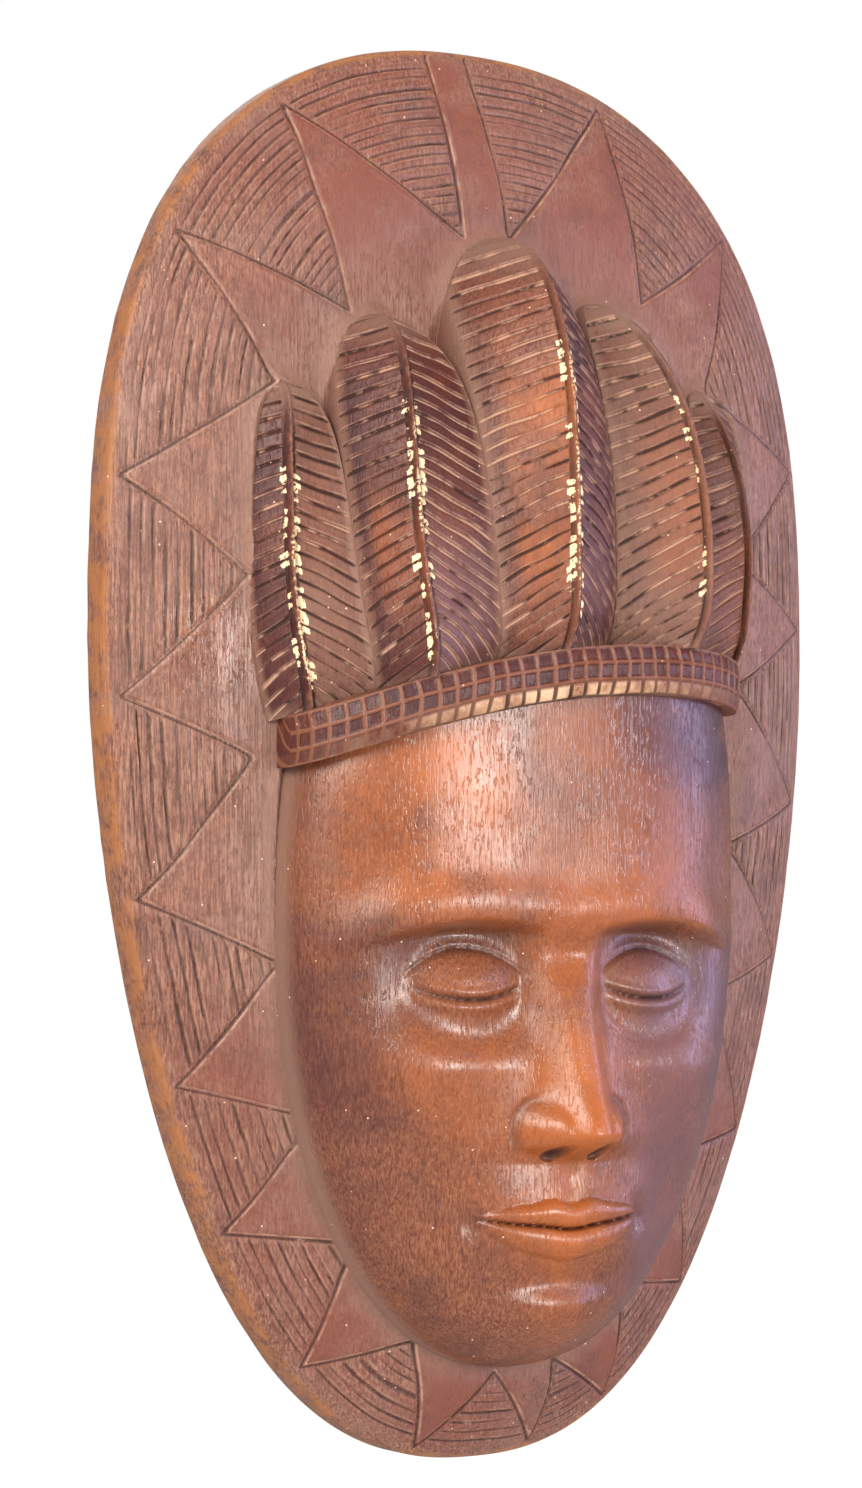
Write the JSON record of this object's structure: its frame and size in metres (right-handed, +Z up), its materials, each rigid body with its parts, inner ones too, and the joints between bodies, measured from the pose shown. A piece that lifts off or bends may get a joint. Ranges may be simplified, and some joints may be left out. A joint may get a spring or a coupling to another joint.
{
  "type": "carved wooden wall mask",
  "caption": "Egg-shaped wooden wall mask with a calm face in high relief, a cross-hatched headband, a crown of feathers, an engraved zigzag border and a ring hanger let into its back.",
  "frame": {"origin": "centre of the board's flat back, halfway up its height", "axes": "+Z up along the board's long axis, -Y out of the face, +Y into the wall, +X to the viewer's right when facing the mask"},
  "size_m": [0.196, 0.0617, 0.3298],
  "materials": {
    "wood_board": "matte dusty hardwood, hand-carved",
    "wood_face": "waxed hardwood, polished on its high points",
    "wood_band": "waxed hardwood, dust in the cuts",
    "wood_feather": "waxed hardwood with worn flecks of gilding",
    "strap_metal": "brass-plated steel strap, dulled",
    "ring_metal": "zinc-plated wire",
    "screw_metal": "zinc-plated, worn recess"
  },
  "bodies": {
    "mask": {"oval_board": "wood_board", "face": "wood_face", "headband": "wood_band", "feather_far_left": "wood_feather", "feather_left": "wood_feather", "feather_centre": "wood_feather", "feather_right": "wood_feather", "feather_far_right": "wood_feather", "hanger_plate": "strap_metal", "hanger_screws": "screw_metal"},
    "ring": {"hanger_ring": "ring_metal"}
  },
  "joints": [
    {"name": "ring_swing", "type": "hinge", "parent": "mask", "child": "ring", "pos_m": [0, -0.00299, 0.095], "axis": [-1, 0, 0], "range_deg": [0, 178]}
  ]
}
